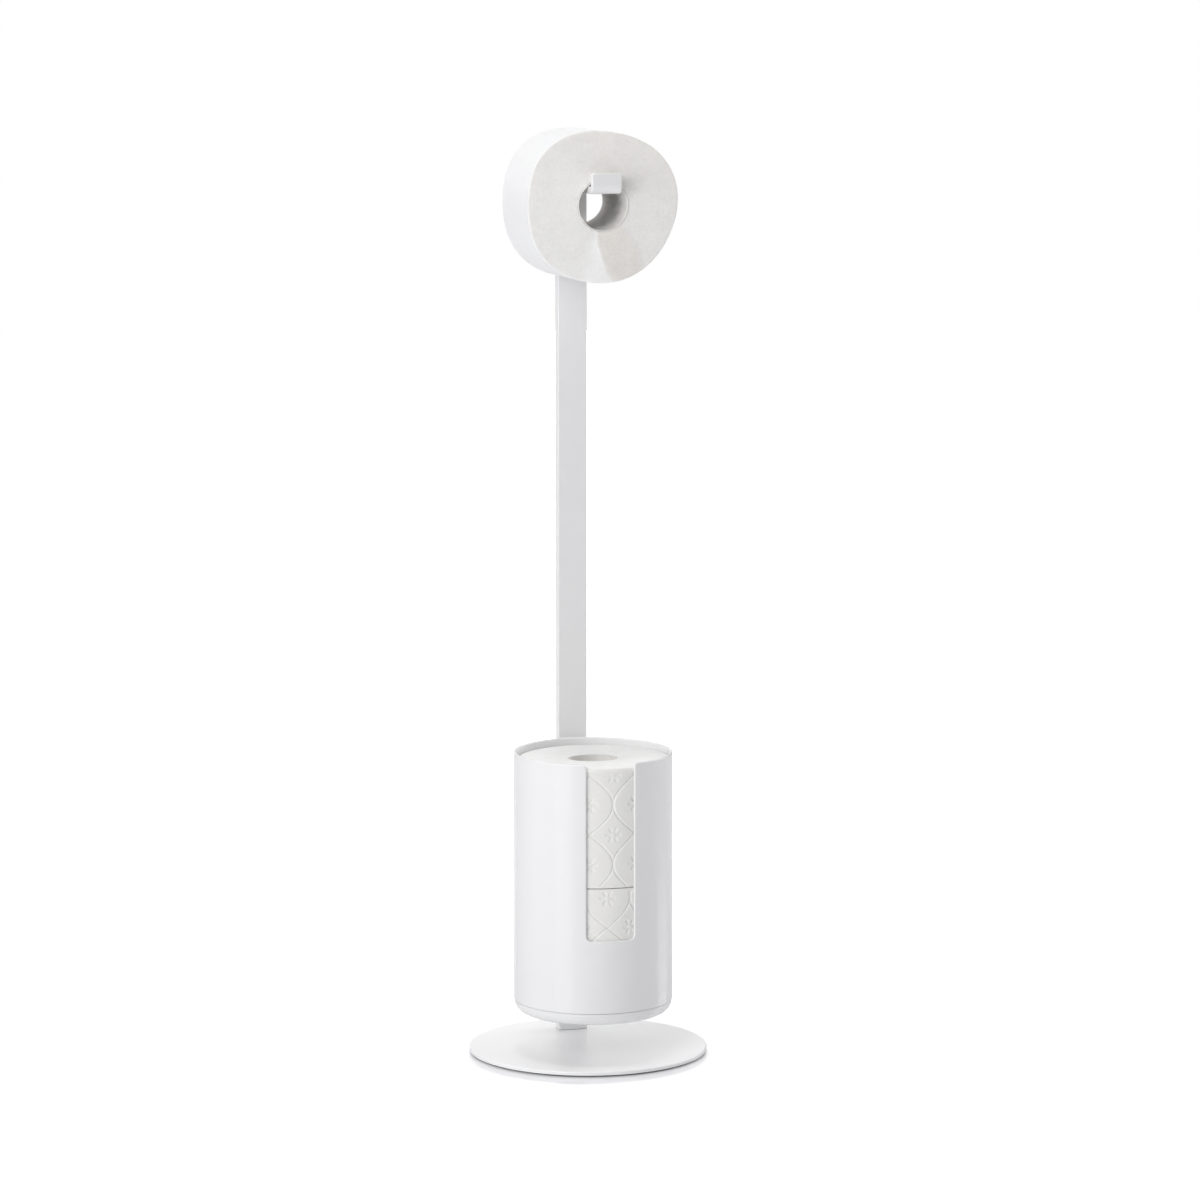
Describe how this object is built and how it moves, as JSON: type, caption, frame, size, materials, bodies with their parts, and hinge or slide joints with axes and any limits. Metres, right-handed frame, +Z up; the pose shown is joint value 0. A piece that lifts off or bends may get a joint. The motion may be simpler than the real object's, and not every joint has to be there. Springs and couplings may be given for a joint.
{
  "type": "freestanding toilet paper holder",
  "caption": "Freestanding toilet paper holder: round base, flat post with a hooked arm for the roll in use, and a slotted canister for spare rolls.",
  "frame": {"origin": "on the floor, under the middle of the round base", "axes": "+Z up, -Y to the front, where the arm points and the canister's slot is, +X to the right as seen from the front"},
  "size_m": [0.2, 0.2, 0.777],
  "materials": {
    "white_coat": "satin",
    "dark_foam": "matte",
    "zinc_steel": "satin",
    "white_plastic": "matte",
    "tissue": "matte",
    "card_core": "matte"
  },
  "bodies": {
    "root": {"base_plate": "white_coat", "nonslip_sheet": "dark_foam", "base_screw_left": "zinc_steel", "base_screw_right": "zinc_steel", "foot_plug": "zinc_steel", "post": "white_coat", "arm": "white_coat", "arm_screw_lower": "zinc_steel", "arm_screw_upper": "zinc_steel", "canister_shell": "white_coat", "canister_pan": "white_coat", "canister_floor": "white_coat", "spacer_lower": "white_plastic", "spacer_upper": "white_plastic", "canister_screw_lower": "zinc_steel", "canister_screw_upper": "zinc_steel", "canister_nut_lower": "zinc_steel", "canister_nut_upper": "zinc_steel"},
    "lower_roll": {"lower_roll_core": "card_core", "lower_roll_paper": "tissue"},
    "upper_roll": {"upper_roll_core": "card_core", "upper_roll_paper": "tissue"},
    "hanging_roll": {"hanging_roll_core": "card_core", "hanging_roll_paper": "tissue"}
  },
  "joints": [
    {"name": "hanging_roll_spin", "type": "hinge", "parent": "root", "child": "hanging_roll", "pos_m": [0, 0, 0.71445], "axis": [0, 0.9994, -0.0349], "continuous": true},
    {"name": "lower_roll_lift", "type": "slide", "parent": "root", "child": "lower_roll", "axis": [0, 0, 1], "range_m": [0, 0.21]},
    {"name": "upper_roll_lift", "type": "slide", "parent": "lower_roll", "child": "upper_roll", "axis": [0, 0, 1], "range_m": [0, 0.11]}
  ]
}
